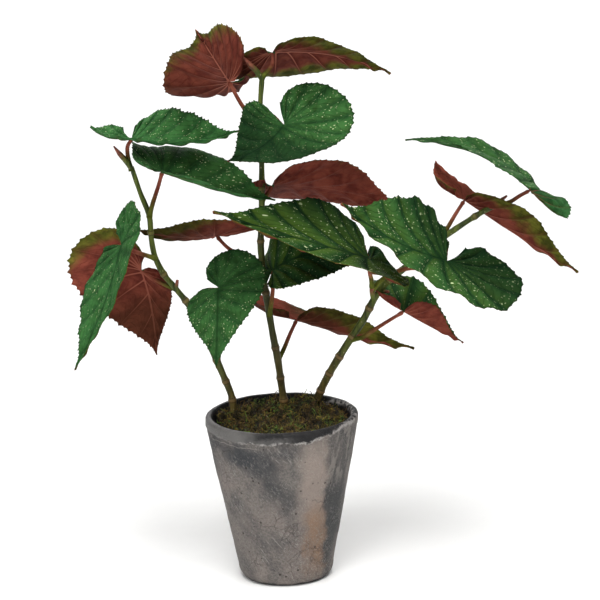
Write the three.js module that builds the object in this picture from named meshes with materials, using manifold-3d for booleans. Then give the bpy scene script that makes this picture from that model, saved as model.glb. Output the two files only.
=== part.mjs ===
// A potted cane begonia, in millimetres, +Z up.
// Origin: the middle of the pot's underside. -Y is the front, +X is to the right.
import * as THREE from 'three';
import { mergeVertices } from 'three/addons/utils/BufferGeometryUtils.js';
import Module from 'manifold-3d';

const wasm = await Module();
wasm.setup();

// Driving dimensions of the pot and its filling
const POT_HEIGHT = 168;
const FOOT_RADIUS = 40;
const FOOT_CURVE_RADIUS = 49;
const FOOT_CURVE_HEIGHT = 14;
const RIM_RADIUS = 76.5;
const MOUTH_RADIUS = 69;
const RIM_BAND = 8;
const RIM_ROUNDING = 4;
const RIM_LIP = 0.8;
const POT_FLOOR = 12;
const FLOOR_ROUNDING = 3;
const POT_WALL = 8;
const SOIL_TOP = 146;
const MOSS_TOP = 154;
const MOSS_MOUND = 5;
const FIT_GAP = 0.3;
const POT_SIDES = 40;

// Driving dimensions of the stems and leaves
const STEM_FOOT = 96;
const STEM_SIDES = 8;
const SIDE_SHOOT_SIDES = 6;
const STEM_STEPS = 14;
const RING_HALF_WIDTH = 0.011;
const RING_SWELL = 0.9;
const BLADE_THICKNESS = 0.9;
const TOOTH_DEPTH = 2.4;
const PLEAT_DEPTH = 0.02;
const PETIOLE_RADIUS = 1.9;
const PETIOLE_TIP = 0.6;
const PETIOLE_NECK = 0.9;
const PETIOLE_FLARE = 0.4;
const PETIOLE_SIDES = 5;

// Shape of every blade, as shares of the midrib's length
const MIDRIB_CREASE = 0.06;
const LOBE_FOLD = 0.35;
const LOBE_FOLD_START = -0.05;
const LOBE_FOLD_EASE = 0.12;
const MIDDLE_RING = 0.52;

const POT_COLOR = 0x5c5952;
const SOIL_COLOR = 0x2b2219;
const MOSS_COLOR = 0x4d4826;
const STEM_COLOR = 0x55592f;
const GREEN_LEAF_COLOR = 0x2c5a33;
const RED_LEAF_COLOR = 0x7c3b30;

const v3 = (p) => new THREE.Vector3(p[0], p[1], p[2]);
const radians = THREE.MathUtils.degToRad;

// A closed geometry becomes a solid once vertices that coincide are merged.
function toSolid(geometry) {
  const bare = new THREE.BufferGeometry();
  bare.setAttribute('position', geometry.getAttribute('position').clone());
  if (geometry.index) bare.setIndex(geometry.index.clone());
  const merged = mergeVertices(bare, 1e-4);
  return new wasm.Manifold(new wasm.Mesh({
    numProp: 3,
    vertProperties: Float32Array.from(merged.getAttribute('position').array),
    triVerts: Uint32Array.from(merged.index.array),
  }));
}

function toGeometry(solid) {
  const mesh = solid.getMesh();
  const geometry = new THREE.BufferGeometry();
  geometry.setAttribute('position', new THREE.BufferAttribute(Float32Array.from(mesh.vertProperties), 3));
  geometry.setIndex(new THREE.BufferAttribute(Uint32Array.from(mesh.triVerts), 1));
  geometry.computeVertexNormals();
  return geometry;
}

function piece(name, solid, color, roughness) {
  const material = new THREE.MeshStandardMaterial({ color, roughness, metalness: 0 });
  const mesh = new THREE.Mesh(toGeometry(solid), material);
  mesh.name = name;
  return mesh;
}

// A solid turned about Z from a profile of [radius, height] points that closes on the axis.
function turned(profile, sides) {
  const points = profile.map(([r, z]) => new THREE.Vector2(r, z));
  const lathe = new THREE.LatheGeometry(points, sides);
  lathe.rotateX(Math.PI / 2);
  return toSolid(lathe);
}

// A round tube through points with a radius at each, closed by a flat cap at both ends.
function tube(points, radii, sides) {
  const positions = [];
  const triangles = [];
  let across = new THREE.Vector3(0, 1, 0);
  points.forEach((p, i) => {
    const before = points[Math.max(i - 1, 0)];
    const after = points[Math.min(i + 1, points.length - 1)];
    const along = after.clone().sub(before).normalize();
    across = across.clone().addScaledVector(along, -across.dot(along)).normalize();
    const other = along.clone().cross(across);
    for (let k = 0; k < sides; k += 1) {
      const angle = (2 * Math.PI * k) / sides;
      const q = p.clone().addScaledVector(across, radii[i] * Math.cos(angle));
      q.addScaledVector(other, radii[i] * Math.sin(angle));
      positions.push(q.x, q.y, q.z);
    }
  });
  const last = points.length - 1;
  for (let i = 0; i < last; i += 1) {
    for (let k = 0; k < sides; k += 1) {
      const next = (k + 1) % sides;
      const [a, b] = [i * sides + k, i * sides + next];
      const [c, d] = [a + sides, b + sides];
      triangles.push(a, b, d, a, d, c);
    }
  }
  for (let k = 1; k < sides - 1; k += 1) {
    triangles.push(0, k + 1, k);
    triangles.push(last * sides, last * sides + k, last * sides + k + 1);
  }
  const geometry = new THREE.BufferGeometry();
  geometry.setAttribute('position', new THREE.Float32BufferAttribute(positions, 3));
  geometry.setIndex(triangles);
  return toSolid(geometry);
}

// The pot: one thick turned wall with a rounded foot and a rounded rim

function potSolid() {
  const rimMiddle = (RIM_RADIUS + MOUTH_RADIUS) / 2;
  const rimHalf = (RIM_RADIUS - MOUTH_RADIUS) / 2;
  const footSpread = FOOT_CURVE_RADIUS - FOOT_RADIUS;
  const profile = [[0, 0]];
  for (const angle of [0, 25, 47, 90]) {
    const turn = radians(angle);
    profile.push([FOOT_RADIUS + footSpread * Math.sin(turn), FOOT_CURVE_HEIGHT * (1 - Math.cos(turn))]);
  }
  profile.push([RIM_RADIUS - RIM_LIP, POT_HEIGHT - 2 * RIM_BAND]);
  profile.push([RIM_RADIUS, POT_HEIGHT - RIM_BAND]);
  for (const angle of [15, 50, 90, 130, 165]) {
    const turn = radians(angle);
    const height = POT_HEIGHT - RIM_ROUNDING * (1 - Math.sin(turn));
    profile.push([rimMiddle + rimHalf * Math.cos(turn), height]);
  }
  profile.push([MOUTH_RADIUS, POT_HEIGHT - RIM_BAND]);
  profile.push([FOOT_CURVE_RADIUS - POT_WALL, POT_FLOOR + FLOOR_ROUNDING]);
  profile.push([FOOT_CURVE_RADIUS - POT_WALL - FLOOR_ROUNDING, POT_FLOOR]);
  profile.push([0, POT_FLOOR]);
  return turned(profile, POT_SIDES);
}

// Radius of the pot's inner wall at a height above the rounded floor
function innerRadius(z) {
  const foot = FOOT_CURVE_RADIUS - POT_WALL;
  return THREE.MathUtils.mapLinear(z, POT_FLOOR + FLOOR_ROUNDING, POT_HEIGHT - RIM_BAND, foot, MOUTH_RADIUS);
}

function soilSolid() {
  const low = POT_FLOOR + FIT_GAP;
  const shoulder = low + FLOOR_ROUNDING;
  const foot = innerRadius(shoulder) - FLOOR_ROUNDING - 2 * FIT_GAP;
  const profile = [[0, low], [foot, low], [innerRadius(shoulder) - 2 * FIT_GAP, shoulder]];
  profile.push([innerRadius(SOIL_TOP) - FIT_GAP, SOIL_TOP], [0, SOIL_TOP]);
  return turned(profile, POT_SIDES);
}

// Waves that break the moss into tufts: height, turn per millimetre along X and Y, phase
const TUFTS = [[1.5, 0.21, 0.07, 0], [1.2, -0.09, 0.19, 0.6], [0.8, 0.43, 0.37, 1.1], [0.6, 0.39, -0.47, 0]];

function mossHeight(x, y) {
  const mound = MOSS_MOUND * (1 - (Math.hypot(x, y) / MOUTH_RADIUS) ** 2);
  const tufts = TUFTS.map(([high, turnX, turnY, phase]) => high * Math.sin(turnX * x + turnY * y + phase));
  return MOSS_TOP + mound + tufts.reduce((sum, tuft) => sum + tuft, 0);
}

function mossSolid() {
  const rings = 5;
  const sides = POT_SIDES;
  const low = SOIL_TOP + FIT_GAP;
  const edge = innerRadius(low) - FIT_GAP;
  const positions = [0, 0, mossHeight(0, 0)];
  for (let i = 1; i <= rings; i += 1) {
    const r = (edge * i) / rings;
    for (let k = 0; k < sides; k += 1) {
      const angle = (2 * Math.PI * k) / sides;
      const [x, y] = [r * Math.cos(angle), r * Math.sin(angle)];
      positions.push(x, y, mossHeight(x, y));
    }
  }
  for (let k = 0; k < sides; k += 1) {
    const angle = (2 * Math.PI * k) / sides;
    positions.push(edge * Math.cos(angle), edge * Math.sin(angle), low);
  }
  positions.push(0, 0, low);
  const triangles = [];
  const at = (ring, k) => 1 + (ring - 1) * sides + (k % sides);
  const bottom = 1 + (rings + 1) * sides;
  for (let k = 0; k < sides; k += 1) {
    triangles.push(0, at(1, k), at(1, k + 1));
    for (let ring = 1; ring <= rings; ring += 1) {
      triangles.push(at(ring, k), at(ring + 1, k), at(ring + 1, k + 1));
      triangles.push(at(ring, k), at(ring + 1, k + 1), at(ring, k + 1));
    }
    triangles.push(bottom, at(rings + 1, k + 1), at(rings + 1, k));
  }
  const geometry = new THREE.BufferGeometry();
  geometry.setAttribute('position', new THREE.Float32BufferAttribute(positions, 3));
  geometry.setIndex(triangles);
  return toSolid(geometry);
}

// The three canes: a route of points, the radius at the foot and at the tip,
// the share of the length at which each node ring stands, and short side pieces
// (buds, scars and one side shoot) as routes of [x, y, z, radius].

const canes = {
  left: {
    route: [
      [-49, 15, STEM_FOOT], [-49, 15, 156], [-49, 14, 180], [-57, 12, 205], [-72, 10, 244],
      [-87, 8, 277], [-100, 7, 296], [-111, 6, 311], [-119, 5, 329], [-122, 4, 348],
      [-123, 3, 371], [-131, 2, 396], [-138, 1, 421],
    ],
    foot: 4.8,
    tip: 2.4,
    rings: [0.24, 0.3, 0.37, 0.46, 0.57, 0.67, 0.8],
    sides: [
      { route: [[-138, 1, 418, 2.3], [-142, 0, 426, 2.9], [-148, -2, 434, 2.5], [-154, -4, 443, 0.7]] },
      { route: [[-101, 5, 295, 2.4], [-99, 3, 301, 2], [-98, 2, 306, 1.4]] },
    ],
  },
  middle: {
    route: [
      [4, 27, STEM_FOOT], [4, 27, 156], [1, 23, 187], [-2, 19, 217], [-6, 17, 243], [-10, 16, 274],
      [-13, 15, 300], [-15, 14, 336], [-13, 13, 367], [-11, 12, 432], [-11, 11, 471], [-8, 10, 504],
    ],
    foot: 4.7,
    tip: 2.5,
    rings: [0.19, 0.25, 0.33, 0.47, 0.6, 0.73, 0.88],
    sides: [
      { route: [[-8, 10, 501, 2.4], [-13, 8, 510, 2.8], [-19, 5, 517, 2.5], [-25, 2, 525, 0.7]] },
    ],
  },
  right: {
    route: [
      [22, 33, STEM_FOOT], [32, 48, 156], [39, 45, 174], [48, 41, 193], [62, 37, 217],
      [74, 34, 236], [85, 31, 253], [96, 29, 274], [108, 28, 290], [120, 27, 300],
      [147, 26, 321], [168, 25, 337], [202, 23, 359], [219, 22, 368],
    ],
    foot: 4.8,
    tip: 2.7,
    rings: [0.24, 0.3, 0.36, 0.43, 0.53, 0.63, 0.78, 0.93],
    sides: [
      { route: [[96, 29, 273, 3.2], [94, 22, 283, 2.8], [94, 15, 292, 2.4]] },
      { route: [[102, 28, 281, 2.2], [107, 26, 282, 2], [111, 24, 282, 1.2]] },
      { route: [[218, 22, 367, 2.4], [224, 20, 373, 2.2], [229, 19, 377, 0.9]] },
    ],
  },
};

function caneCurve(cane) {
  return new THREE.CatmullRomCurve3(cane.route.map(v3), false, 'centripetal');
}

function caneRadius(cane, share) {
  return THREE.MathUtils.lerp(cane.foot, cane.tip, share);
}

// Each ring is a short swelling, so the tube gets a fine step there and long steps between.
function caneSolid(cane, extra = 0, withSides = true) {
  const curve = caneCurve(cane);
  const shares = new Set();
  for (let i = 0; i <= STEM_STEPS; i += 1) shares.add(i / STEM_STEPS);
  const bulge = new Map();
  for (const ring of cane.rings) {
    for (const share of shares) {
      if (Math.abs(share - ring) < 2 * RING_HALF_WIDTH) shares.delete(share);
    }
    for (const shift of [-RING_HALF_WIDTH, 0, RING_HALF_WIDTH]) shares.add(ring + shift);
    bulge.set(ring, RING_SWELL);
  }
  const sorted = [...shares].sort((a, b) => a - b);
  const points = sorted.map((share) => curve.getPointAt(share));
  const radii = sorted.map((share) => caneRadius(cane, share) + (bulge.get(share) ?? 0) + extra);
  const stem = tube(points, radii, STEM_SIDES);
  if (!withSides) return stem;
  const sideSolid = ({ route }) => tube(route.map(v3), route.map((p) => p[3] + extra), SIDE_SHOOT_SIDES);
  return cane.sides.map(sideSolid).reduce((whole, side) => whole.add(side), stem);
}

// The flat leaf, as shares of its midrib: the petiole joins at 0,0 and the tip is at 1,0.
// Each point is the end of one vein; the broad half reaches far behind the petiole.
const BROAD_VEINS = [
  [1, 0], [0.9, 0.045], [0.76, 0.135], [0.58, 0.265], [0.38, 0.38], [0.14, 0.475], [-0.12, 0.51],
  [-0.34, 0.46], [-0.49, 0.32], [-0.54, 0.14], [-0.49, -0.03], [-0.36, -0.13], [-0.2, -0.13],
];
const NARROW_VEINS = [
  [1, 0], [0.9, -0.035], [0.78, -0.1], [0.63, -0.195], [0.46, -0.285], [0.28, -0.345],
  [0.12, -0.34], [0, -0.28], [-0.05, -0.18], [-0.03, -0.09],
];
// Where each vein leaves the midrib; the rest fan out from the petiole.
const VEIN_STARTS = [1, 0.86, 0.68, 0.46, 0.24, 0.06];

function edgeCurve(veins) {
  return new THREE.CatmullRomCurve3(veins.map(([u, v]) => v3([u, v, 0])), false, 'centripetal');
}

const broadEdge = edgeCurve(BROAD_VEINS);
const narrowEdge = edgeCurve(NARROW_VEINS);

function veinStart(index) {
  const low = Math.floor(index);
  const a = VEIN_STARTS[low] ?? 0;
  const b = VEIN_STARTS[low + 1] ?? 0;
  return a + (b - a) * (index - low);
}

// Bends the flat leaf: each half folds up along the midrib, its margin cups down, the blade
// twists along its length, and the midrib arches down ahead of the petiole and behind it.
function bent(leaf, u, v, lift) {
  const long = u < 0 ? u * leaf.lobe : u;
  const ease = 1 / (1 + Math.exp((LOBE_FOLD_START - long) / LOBE_FOLD_EASE));
  const slope = radians(leaf.fold) * THREE.MathUtils.lerp(LOBE_FOLD, 1, ease);
  const middle = leaf.sweep * Math.max(u, 0) ** 2 * leaf.hand;
  const wide = v * (v >= 0 ? leaf.broad : leaf.narrow) * leaf.hand;
  const reach = Math.hypot(wide, MIDRIB_CREASE) - MIDRIB_CREASE;
  let y = middle + wide * Math.cos(slope);
  let z = reach * Math.sin(slope) - leaf.cup * reach * reach + lift;
  const turn = radians(leaf.twist) * long;
  [y, z] = [y * Math.cos(turn) - z * Math.sin(turn), y * Math.sin(turn) + z * Math.cos(turn)];
  const arch = radians(u >= 0 ? leaf.arch : leaf.back) || Number.EPSILON;
  const angle = arch * Math.abs(long);
  const side = Math.sign(long);
  const x = (Math.sin(angle) / arch + z * Math.sin(angle)) * side;
  z = z * Math.cos(angle) - (1 - Math.cos(angle)) / arch;
  return new THREE.Vector3(x, y, z).multiplyScalar(leaf.length);
}

// Turns a leaf's own axes (midrib, left, up) into the plant's.
function leafMatrix(leaf) {
  const pose = new THREE.Euler(radians(leaf.roll), -radians(leaf.pitch), radians(leaf.heading), 'ZYX');
  return new THREE.Matrix4().makeRotationFromEuler(pose).setPosition(v3(leaf.at));
}

// A vein ray's point: share 0 on the midrib or petiole, share 1 on the margin.
// The blade sinks along each vein and puffs up between veins.
function rayPoint(leaf, broad, index, share, inset) {
  const edge = broad ? broadEdge : narrowEdge;
  const count = broad ? BROAD_VEINS.length : NARROW_VEINS.length;
  const end = edge.getPoint(THREE.MathUtils.clamp(index / (count - 1), 0, 1));
  const start = veinStart(index);
  const ray = Math.max(leaf.length * Math.hypot(end.x - start, end.y), 8 * inset);
  const pull = 1 - inset / Math.max(ray, 1);
  const u = start + (end.x - start) * share * pull;
  const v = end.y * share * pull;
  const valley = 1 - Math.abs(Math.sin(Math.PI * index));
  return [u, v, -PLEAT_DEPTH * valley * Math.sin(Math.PI * share)];
}

function bladeSolid(leaf) {
  const flat = [];
  const cells = [];
  const lookup = new Map();
  const vertex = (key, makePoint) => {
    if (!lookup.has(key)) {
      lookup.set(key, flat.length);
      flat.push(makePoint());
    }
    return lookup.get(key);
  };
  const rim = [];
  for (const broad of [true, false]) {
    const count = broad ? BROAD_VEINS.length : NARROW_VEINS.length;
    const tag = broad ? 'b' : 'n';
    const start = (i) => vertex(`m${veinStart(i).toFixed(4)}`, () => [veinStart(i), 0, 0]);
    const ray = (i, share, inset) => {
      return vertex(`${tag}${i}s${share}`, () => rayPoint(leaf, broad, i, share, inset));
    };
    const inner = (i) => (i === 0 ? start(0) : ray(i, MIDDLE_RING, 0));
    const outer = (i) => (i === 0 ? start(0) : ray(i, 1, 0));
    const notch = (i) => ray(i, 1, TOOTH_DEPTH);
    const side = [];
    for (let i = 0; i < count - 1; i += 0.5) {
      const j = i + 0.5;
      const [a, b] = [start(i), start(j)];
      const [c, d] = [inner(i), inner(j)];
      const [e, f] = [outer(i), outer(j)];
      const n = notch(i + 0.25);
      const fan = [[a, c, d], [a, d, b], [c, e, n], [c, n, d], [d, n, f]];
      for (const t of fan) if (new Set(t).size === 3) side.push(t);
      rim.push(broad ? [e, n] : [n, e], broad ? [n, f] : [f, n]);
    }
    const lastRay = [outer(count - 1), inner(count - 1), start(count - 1)];
    for (let k = 0; k < 2; k += 1) {
      const [outside, inside] = [lastRay[k], lastRay[k + 1]];
      rim.push(broad ? [outside, inside] : [inside, outside]);
    }
    for (const [a, b, c] of side) cells.push(broad ? [a, b, c] : [a, c, b]);
  }
  const matrix = leafMatrix(leaf);
  const half = BLADE_THICKNESS / 2;
  const step = 0.01;
  const top = [];
  const under = [];
  for (const [u, v, lift] of flat) {
    const along = bent(leaf, u + step, v, 0).sub(bent(leaf, u - step, v, 0));
    const across = bent(leaf, u, v + step, 0).sub(bent(leaf, u, v - step, 0));
    const normal = along.cross(across).normalize().multiplyScalar(leaf.hand);
    const middle = bent(leaf, u, v, lift);
    top.push(middle.clone().addScaledVector(normal, half).applyMatrix4(matrix));
    under.push(middle.clone().addScaledVector(normal, -half).applyMatrix4(matrix));
  }
  const count = flat.length;
  const triangles = [];
  const flip = leaf.hand > 0;
  const add = (a, b, c) => triangles.push(a, flip ? b : c, flip ? c : b);
  for (const [a, b, c] of cells) {
    add(a, b, c);
    add(a + count, c + count, b + count);
  }
  for (const [a, b] of rim) {
    add(b, a, a + count);
    add(b, a + count, b + count);
  }
  const geometry = new THREE.BufferGeometry();
  geometry.setFromPoints([...top, ...under]);
  geometry.setIndex(triangles);
  return toSolid(geometry);
}

// The petiole runs from the blade's base through its own points to a node on a cane.
function petioleSolid(leaf) {
  const curve = new THREE.CatmullRomCurve3([v3(leaf.at), ...leaf.petiole.map(v3)], false, 'centripetal');
  const steps = 2 * leaf.petiole.length + 1;
  const points = curve.getSpacedPoints(steps);
  const radii = points.map((_, i) => PETIOLE_RADIUS * (PETIOLE_NECK + (PETIOLE_FLARE * i) / steps));
  radii[0] = PETIOLE_RADIUS * PETIOLE_TIP;
  return tube(points, radii, PETIOLE_SIDES);
}

function leafSolid(leaf) {
  const whole = bladeSolid(leaf).add(petioleSolid(leaf));
  const stem = caneSolid(canes[leaf.cane], FIT_GAP);
  const parts = whole.subtract(stem).decompose();
  return parts.reduce((best, part) => (part.volume() > best.volume() ? part : best));
}

// The leaves. at is where the petiole joins the blade; heading, pitch and roll in degrees turn
// the midrib; length is the midrib's; petiole ends inside the cane, which trims it.
const usual = {
  red: false, hand: 1, broad: 1, narrow: 1.1, lobe: 1,
  fold: 15, arch: 20, back: 10, twist: 0, sweep: 0, cup: 0.25,
};
const leaves = [
  {
    name: 'top_left', cane: 'middle', at: [-40, -12, 504], red: true, hand: -1,
    heading: 260, pitch: 26, roll: 32, length: 125, broad: 1.1, narrow: 1.2, lobe: 1.1,
    fold: 58, arch: -15, back: -40, twist: 14, cup: 0,
    petiole: [[-28, -4, 479], [-19, 4, 465], [-11, 11, 452]],
  },
  {
    name: 'top_right', cane: 'middle', at: [3, 25, 525], red: true,
    heading: 21, pitch: 0, roll: -29, length: 124, broad: 1, narrow: 1.3, lobe: 0.6,
    fold: -12, arch: 30, back: 18, twist: 6, cup: -0.2,
    petiole: [[2, 21, 514], [-8, 10, 503]],
  },
  {
    name: 'upper_front', cane: 'middle', at: [12, -28, 463],
    heading: 252, pitch: -15, roll: -30, length: 120, broad: 1, narrow: 1, lobe: 1.2,
    fold: 19, arch: -4, back: -40, twist: -12, sweep: -0.2, cup: -0.3,
    petiole: [[5, -15, 448], [-11, 12, 430]],
  },
  {
    name: 'left_crown', cane: 'left', at: [-136, -8, 450], hand: -1,
    heading: -12, pitch: -10, roll: 4, length: 110, broad: 0.6, narrow: 1.5, lobe: 0.7,
    fold: 36, arch: -31, back: -40, twist: 20, cup: 0.4,
    petiole: [[-141, 1, 441], [-141, 3, 430], [-138, 1, 417]],
  },
  {
    name: 'left_upper', cane: 'left', at: [-107, -24, 420],
    heading: 7, pitch: -24, roll: 12, length: 116, broad: 1.4, narrow: 0.9, lobe: 0.55,
    fold: 52, arch: -7, back: -40, twist: 18, sweep: 0.1, cup: 1,
    petiole: [[-112, -14, 404], [-119, -4, 384], [-123, 3, 370]],
  },
  {
    name: 'back_red', cane: 'middle', at: [-2, 25, 393], red: true,
    heading: 17, pitch: -3, roll: -24, length: 137, broad: 0.9, narrow: 1.3, lobe: 0.5,
    fold: 10, arch: 25, back: -27, twist: -25, cup: 0.1,
    petiole: [[-5, 21, 388], [-12, 13, 381]],
  },
  {
    name: 'left_back', cane: 'left', at: [-134, 20, 313], red: true,
    heading: 59, pitch: -64, roll: -5, length: 99, broad: 1.4, narrow: 0.75, lobe: 0.9,
    fold: 10, arch: 10, back: 3, twist: -43, sweep: 0.1, cup: 0.8,
    petiole: [[-121, 17, 304], [-110, 12, 299], [-100, 7, 296]],
  },
  {
    name: 'left_hanging', cane: 'left', at: [-149, -37, 352],
    heading: 244, pitch: -60, roll: 41, length: 130, broad: 0.7, narrow: 1.35, lobe: 0.6,
    fold: 12, arch: -12, back: -40, twist: -10, sweep: -0.1, cup: 0.4,
    petiole: [[-139, -28, 344], [-129, -12, 336], [-119, 5, 328]],
  },
  {
    name: 'centre_large', cane: 'right', at: [91, -25, 328],
    heading: 220, pitch: 21, roll: -32, length: 176, broad: 0.55, narrow: 0.95, lobe: 0.35,
    fold: 23, arch: 14, back: 11, twist: -12, sweep: -0.2, cup: 0.2,
    petiole: [[91, -10, 312], [93, 8, 299], [94, 15, 290]],
  },
  {
    name: 'centre_lower', cane: 'middle', at: [-4, 0, 313],
    heading: -17, pitch: 38, roll: 27, length: 105, broad: 1.2, narrow: 1.2, lobe: 0.8,
    fold: 14, arch: 65, back: 36, twist: 45, sweep: -0.1, cup: 0.3,
    petiole: [[-4, 4, 298], [-6, 8, 281], [-9, 16, 263]],
  },
  {
    name: 'right_large', cane: 'right', at: [166, -28, 324],
    heading: 208, pitch: 20, roll: -37, length: 139, broad: 1, narrow: 1.3, lobe: 1,
    fold: 25, arch: -19, back: -40, twist: -14, sweep: -0.1, cup: 0.3,
    petiole: [[152, -18, 314], [131, -4, 312], [114, 8, 305], [103, 16, 296], [94, 21, 285]],
  },
  {
    name: 'right_folded', cane: 'right', at: [125, 25, 261],
    heading: 27, pitch: -35, roll: -6, length: 81, broad: 1.4, narrow: 1, lobe: 0.8,
    fold: 63, arch: -8, back: -40, twist: 14, cup: 0,
    petiole: [[109, 24, 252], [93, 25, 242], [83, 28, 235], [71, 35, 231]],
  },
  {
    name: 'low_back', cane: 'middle', at: [18, 49, 250], red: true,
    heading: 22, pitch: -23, roll: -21, length: 132, broad: 1.3, narrow: 0.7, lobe: 0.6,
    fold: 33, arch: -1, back: -37, twist: -21, sweep: -0.1, cup: -0.1,
    petiole: [[11, 40, 238], [4, 28, 225], [-2, 19, 216]],
  },
  {
    name: 'front_heart', cane: 'left', at: [-57, -32, 305],
    heading: 269, pitch: -21, roll: 13, length: 94, broad: 1, narrow: 1, lobe: 1,
    fold: -2, arch: 41, back: -40, twist: 2, sweep: -0.1, cup: 0.3,
    petiole: [[-62, -20, 290], [-69, -4, 268], [-74, 10, 249]],
  },
  {
    name: 'left_folded', cane: 'middle', at: [-59, 35, 342], red: true,
    heading: 199, pitch: -1, roll: 20, length: 84, broad: 1, narrow: 1.2, lobe: 1.3,
    fold: 12, arch: -23, back: -25, twist: 19, cup: -0.3,
    petiole: [[-49, 33, 331], [-32, 24, 321], [-13, 15, 312]],
  },
  {
    name: 'right_crown', cane: 'right', at: [252, 22, 381],
    heading: 145, pitch: 36, roll: 29, length: 137, broad: 1.3, narrow: 1, lobe: 0.7,
    fold: 24, arch: 28, back: -40, twist: -35, sweep: 0.2, cup: 0.6,
    petiole: [[242, 22, 376], [232, 22, 370], [218, 22, 367]],
  },
  {
    name: 'right_red', cane: 'right', at: [188, 36, 370], red: true,
    heading: 1, pitch: -37, roll: -8, length: 137, broad: 1.3, narrow: 1, lobe: 0.6,
    fold: 42, arch: -6, back: -40, twist: -36, cup: 0.6,
    petiole: [[179, 34, 357], [171, 30, 345], [162, 25, 332]],
  },
];

const plant = new THREE.Group();

plant.add(piece('pot', potSolid(), POT_COLOR, 0.85));

const stems = Object.entries(canes);
const holes = stems.map(([, cane]) => caneSolid(cane, FIT_GAP, false));
const drilled = (solid) => holes.reduce((rest, hole) => rest.subtract(hole), solid);
plant.add(piece('soil', drilled(soilSolid()), SOIL_COLOR, 1));
plant.add(piece('moss', drilled(mossSolid()), MOSS_COLOR, 1));

for (const [name, cane] of stems) {
  plant.add(piece(`cane_${name}`, caneSolid(cane), STEM_COLOR, 0.6));
}
for (const given of leaves) {
  const leaf = { ...usual, ...given };
  const color = leaf.red ? RED_LEAF_COLOR : GREEN_LEAF_COLOR;
  plant.add(piece(`leaf_${leaf.name}`, leafSolid(leaf), color, 0.5));
}

export default plant;
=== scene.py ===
# %% [markdown]
# # A potted cane begonia
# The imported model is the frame: every node has its place and size there already. This notebook
# dresses it. The pot gets its worn clay, the soil its moss, the canes their rings, and each leaf
# its teeth, veins and spots. Each fine piece keeps the form of the node that it stands for.

# %% Load the frame
import math

import bpy
import numpy as np
from mathutils import Matrix, Vector, noise


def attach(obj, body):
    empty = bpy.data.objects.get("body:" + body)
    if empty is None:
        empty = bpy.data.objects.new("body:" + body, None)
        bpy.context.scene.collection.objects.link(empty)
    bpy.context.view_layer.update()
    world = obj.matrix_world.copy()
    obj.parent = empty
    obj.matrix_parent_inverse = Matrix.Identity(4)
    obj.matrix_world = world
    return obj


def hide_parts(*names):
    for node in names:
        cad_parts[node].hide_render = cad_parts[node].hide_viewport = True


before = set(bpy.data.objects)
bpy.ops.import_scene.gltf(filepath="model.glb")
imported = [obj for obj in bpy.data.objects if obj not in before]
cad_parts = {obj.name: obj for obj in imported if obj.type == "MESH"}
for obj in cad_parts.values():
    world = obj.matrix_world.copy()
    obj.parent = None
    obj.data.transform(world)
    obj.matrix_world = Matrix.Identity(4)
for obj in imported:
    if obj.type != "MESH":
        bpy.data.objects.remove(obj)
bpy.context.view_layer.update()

MM = 0.001
print("nodes in the frame:", len(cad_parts))

# %% [markdown]
# ## The camera
# The plant stands below eye level, seen from far away with a long lens, so the pot's rim is a
# flat oval. The picture leans by under two degrees, which is set on the camera's own axes.

# %% Camera
EYE = Vector((0.022, -2.6, 0.925))
AIM = Vector((0.022, 0, 0.2825))
SENSOR = 36
PICTURE_WIDTH, FOCAL_LENGTH = 600, 2716  # in the photo's pixels
LENS = SENSOR * FOCAL_LENGTH / PICTURE_WIDTH
LEAN = math.radians(1.8)

ahead = (AIM - EYE).normalized()
level = Vector((1, 0, 0))
above = level.cross(ahead)
right = level * math.cos(LEAN) - above * math.sin(LEAN)
upward = level * math.sin(LEAN) + above * math.cos(LEAN)

bpy.ops.object.camera_add(location=EYE)
camera = bpy.context.object
turn = Matrix((right, upward, -ahead)).transposed().to_4x4()
camera.matrix_world = Matrix.Translation(EYE) @ turn
camera.data.lens = LENS
camera.data.sensor_width = SENSOR
camera.data.clip_end = 60
bpy.context.scene.camera = camera
bpy.context.scene.view_settings.view_transform = "Standard"
print("lens", round(LENS, 1))

# %% [markdown]
# ## Small tools
# An operator acts on whatever is selected, so each step starts with nothing selected. In a
# material, what a socket puts out is held as a wire. Sums, ramps and patterns of a wire place
# the next node, so that a recipe reads like a sum.

# %% Select, edit, and hand a finished piece over
def put_down():
    """Leave edit mode and select nothing."""
    active = bpy.context.view_layer.objects.active
    if active and active.mode != "OBJECT":
        bpy.ops.object.mode_set(mode="OBJECT")
    bpy.ops.object.select_all(action="DESELECT")


def pick_up(*objects):
    """Select these objects alone; the first is the active one."""
    put_down()
    for obj in objects:
        obj.select_set(True)
    bpy.context.view_layer.objects.active = objects[0]


def edit_all(obj, operator, **values):
    """Run one mesh operator on all of an object's mesh."""
    pick_up(obj)
    bpy.ops.object.mode_set(mode="EDIT")
    bpy.ops.mesh.select_all(action="SELECT")
    operator(**values)
    bpy.ops.object.mode_set(mode="OBJECT")


def finish_piece(obj, name, material, nodes):
    """Name and smooth a piece, dress it, and let it stand for its nodes."""
    pick_up(obj)
    bpy.ops.object.shade_smooth()
    obj.name = obj.data.name = name
    obj.data.materials.clear()
    obj.data.materials.append(material)
    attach(obj, "root")
    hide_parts(*nodes)
    print(name, "faces:", len(obj.data.polygons))


# %% Wires between shader nodes
def feed(socket, value):
    """Join a wire to a socket, or set the socket; a colour gets its full alpha."""
    if isinstance(value, Wire):
        value.tree.links.new(value.socket, socket)
    else:
        socket.default_value = (*value, 1) if socket.type == "RGBA" else value


def place(tree, kind, values, output=0, **settings):
    """Place a shader node, feed its inputs, and return one of its outputs as a wire."""
    node = tree.nodes.new("ShaderNode" + kind)
    for key, value in settings.items():
        setattr(node, key, value)
    for key, value in (values if isinstance(values, dict) else dict(enumerate(values))).items():
        feed(node.inputs[key], value)
    return Wire(tree, node.outputs[output])


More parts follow.
